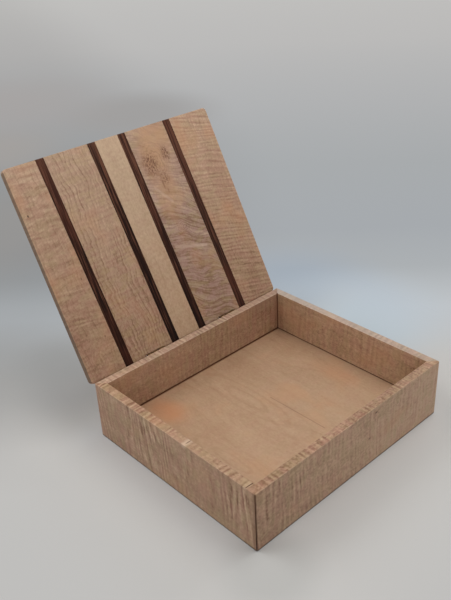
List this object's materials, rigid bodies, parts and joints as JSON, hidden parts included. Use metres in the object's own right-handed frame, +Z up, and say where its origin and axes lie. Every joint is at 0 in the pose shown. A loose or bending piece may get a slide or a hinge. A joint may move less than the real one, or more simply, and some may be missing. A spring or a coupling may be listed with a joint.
{
  "type": "keepsake box",
  "caption": "Low rectangular wooden box with mitred walls, a panel bottom and a flat hinged lid of pale boards with dark strips between them.",
  "frame": {"origin": "centre of the footprint, on the plane that the walls stand on", "axes": "+Z up, +X to the right as seen from the front, +Y to the back, where the hinges are"},
  "size_m": [0.2812, 0.3634, 0.2803],
  "materials": {
    "maple": "satin, curly figure",
    "maple_ply": "satin, plain",
    "walnut": "satin, dark",
    "brass": "aged, dull"
  },
  "bodies": {
    "box": {"front_wall": "maple", "back_wall": "maple", "left_wall": "maple", "right_wall": "maple", "bottom_panel": "maple_ply", "left_hinge_box_leaf": "brass", "right_hinge_box_leaf": "brass", "left_hinge_pin": "brass", "right_hinge_pin": "brass", "box_leaf_screws": "brass"},
    "lid": {"lid_stave_1": "maple", "lid_strip_1": "walnut", "lid_stave_2": "maple", "lid_strip_2": "walnut", "lid_stave_3": "maple", "lid_strip_3": "walnut", "lid_stave_4": "maple", "lid_strip_4": "walnut", "lid_stave_5": "maple", "left_hinge_lid_leaf": "brass", "right_hinge_lid_leaf": "brass", "lid_leaf_screws": "brass"}
  },
  "joints": [
    {"name": "lid_hinge", "type": "hinge", "parent": "box", "child": "lid", "pos_m": [0, 0.12165, 0.06785], "axis": [1, 0, 0], "range_deg": [0, 118]}
  ]
}
